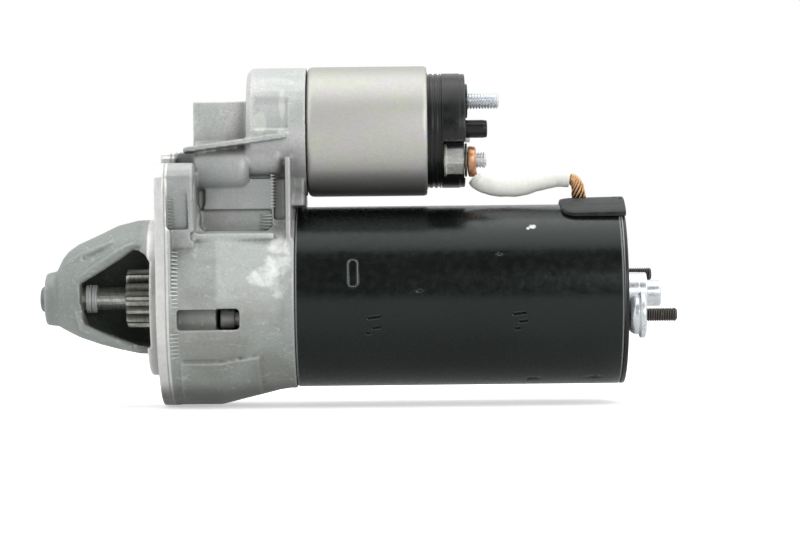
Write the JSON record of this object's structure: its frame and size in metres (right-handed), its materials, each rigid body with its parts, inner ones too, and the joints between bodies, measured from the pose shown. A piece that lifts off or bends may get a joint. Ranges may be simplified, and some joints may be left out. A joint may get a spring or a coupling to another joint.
{
  "type": "starter motor",
  "caption": "Planetary-reduction starter motor: ribbed cast nose housing, black motor yoke and a shift solenoid above it with screw terminals and a sleeved lead.",
  "frame": {"origin": "where the motor axis meets the front face of the mounting flange", "axes": "+X along the motor axis towards the commutator end, +Z towards the solenoid, -Y is the side with the ring gear window"},
  "size_m": [0.2722, 0.1116, 0.1454],
  "materials": {
    "cast_aluminium": "as cast, shot-blasted",
    "zinc": "zinc plated and passivated",
    "black_paint": "semi-gloss black paint",
    "steel": "machined, lightly oiled",
    "dark_steel": "phosphated",
    "ferrite": "sintered ferrite",
    "copper": null,
    "bronze": "sintered bronze",
    "black_plastic": "moulded glass-filled plastic",
    "grey_plastic": "moulded plastic",
    "rubber": "moulded rubber",
    "sleeve": "woven glass-fibre sleeving",
    "carbon": "copper-graphite"
  },
  "bodies": {
    "starter": {"drive_end_housing": "cast_aluminium", "nose_cap": "dark_steel", "nose_bushing": "bronze", "ring_gear": "steel", "gear_cover_plate": "steel", "lever_pivot_pin": "steel", "yoke": "black_paint", "magnet_1": "ferrite", "magnet_2": "ferrite", "magnet_3": "ferrite", "magnet_4": "ferrite", "magnet_5": "ferrite", "magnet_6": "ferrite", "end_cover": "zinc", "rear_bushing": "bronze", "bearing_cap": "zinc", "through_bolt_near": "dark_steel", "through_bolt_far": "dark_steel", "flange_nut": "zinc", "brush_plate": "black_plastic", "cable_grommet": "rubber", "motor_lead": "copper", "lead_sleeve": "sleeve", "lead_lug": "copper", "solenoid_can": "zinc", "solenoid_coil": "copper", "fixed_core": "steel", "plunger_spring": "steel", "switch_cover": "black_plastic", "battery_stud": "zinc", "battery_stud_pad": "black_plastic", "motor_stud": "zinc", "motor_stud_nut": "zinc", "motor_stud_washer": "zinc", "control_terminal": "black_plastic", "control_tab": "grey_plastic"},
    "armature": {"armature_shaft": "steel", "armature_core": "dark_steel", "armature_winding_front": "copper", "armature_winding_rear": "copper", "commutator": "copper"},
    "drive": {"drive_shaft": "steel", "planet_pin_1": "steel", "planet_pin_2": "steel", "planet_pin_3": "steel", "stop_collar": "steel", "stop_snap_ring": "steel"},
    "planet_1": {"planet_gear_1": "steel"},
    "planet_2": {"planet_gear_2": "steel"},
    "planet_3": {"planet_gear_3": "steel"},
    "clutch": {"clutch_shell": "steel"},
    "pinion_body": {"pinion": "steel"},
    "plunger_body": {"plunger": "steel"},
    "lever": {"shift_lever": "black_plastic"},
    "contact": {"contact_bridge": "copper", "push_rod": "black_plastic"},
    "brush_1_body": {"brush_1": "carbon"},
    "brush_2_body": {"brush_2": "carbon"},
    "brush_3_body": {"brush_3": "carbon"},
    "brush_4_body": {"brush_4": "carbon"}
  },
  "joints": [
    {"name": "armature_spin", "type": "hinge", "parent": "starter", "child": "armature", "pos_m": [0.1, 0, 0], "axis": [1, 0, 0], "continuous": true},
    {"name": "drive_shaft_spin", "type": "hinge", "parent": "starter", "child": "drive", "pos_m": [0, 0, 0], "axis": [1, 0, 0], "continuous": true},
    {"name": "planet_1_spin", "type": "hinge", "parent": "drive", "child": "planet_1", "pos_m": [0.048, 0, 0.01419], "axis": [1, 0, 0], "continuous": true},
    {"name": "planet_2_spin", "type": "hinge", "parent": "drive", "child": "planet_2", "pos_m": [0.048, -0.01229, -0.00709], "axis": [1, 0, 0], "continuous": true},
    {"name": "planet_3_spin", "type": "hinge", "parent": "drive", "child": "planet_3", "pos_m": [0.048, 0.01229, -0.00709], "axis": [1, 0, 0], "continuous": true},
    {"name": "pinion_travel", "type": "slide", "parent": "drive", "child": "clutch", "axis": [-1, 0, 0], "range_m": [0, 0.0127]},
    {"name": "pinion_overrun", "type": "hinge", "parent": "clutch", "child": "pinion_body", "pos_m": [0, 0, 0], "axis": [1, 0, 0], "continuous": true},
    {"name": "plunger_travel", "type": "slide", "parent": "starter", "child": "plunger_body", "axis": [1, 0, 0], "range_m": [0, 0.0096], "stiffness_N_per_m": 1500, "springref_m": -0.006, "deforming": ["plunger_spring"]},
    {"name": "shift_lever_swing", "type": "hinge", "parent": "starter", "child": "lever", "pos_m": [0.0225, 0, 0.0405], "axis": [0, 1, 0], "range_deg": [0, 18]},
    {"name": "contact_travel", "type": "slide", "parent": "starter", "child": "contact", "axis": [1, 0, 0], "range_m": [0, 0.0024]},
    {"name": "brush_1_lift", "type": "slide", "parent": "starter", "child": "brush_1_body", "axis": [0, 0.5, 0.866], "range_m": [0, 0.004], "stiffness_N_per_m": 600, "springref_m": -0.006},
    {"name": "brush_2_lift", "type": "slide", "parent": "starter", "child": "brush_2_body", "axis": [0, -0.866, 0.5], "range_m": [0, 0.004], "stiffness_N_per_m": 600, "springref_m": -0.006},
    {"name": "brush_3_lift", "type": "slide", "parent": "starter", "child": "brush_3_body", "axis": [0, -0.5, -0.866], "range_m": [0, 0.004], "stiffness_N_per_m": 600, "springref_m": -0.006},
    {"name": "brush_4_lift", "type": "slide", "parent": "starter", "child": "brush_4_body", "axis": [0, 0.866, -0.5], "range_m": [0, 0.004], "stiffness_N_per_m": 600, "springref_m": -0.006}
  ],
  "couplings": [
    {"joint": "drive_shaft_spin", "follows": "armature_spin", "ratio": 0.16667},
    {"joint": "planet_1_spin", "follows": "armature_spin", "ratio": -0.41667},
    {"joint": "planet_2_spin", "follows": "armature_spin", "ratio": -0.41667},
    {"joint": "planet_3_spin", "follows": "armature_spin", "ratio": -0.41667},
    {"joint": "pinion_travel", "follows": "plunger_travel", "ratio": 1.3229},
    {"joint": "shift_lever_swing", "follows": "plunger_travel", "rad_per_m": 32.665},
    {"joint": "contact_travel", "follows": "plunger_travel", "ratio": 0.25}
  ]
}
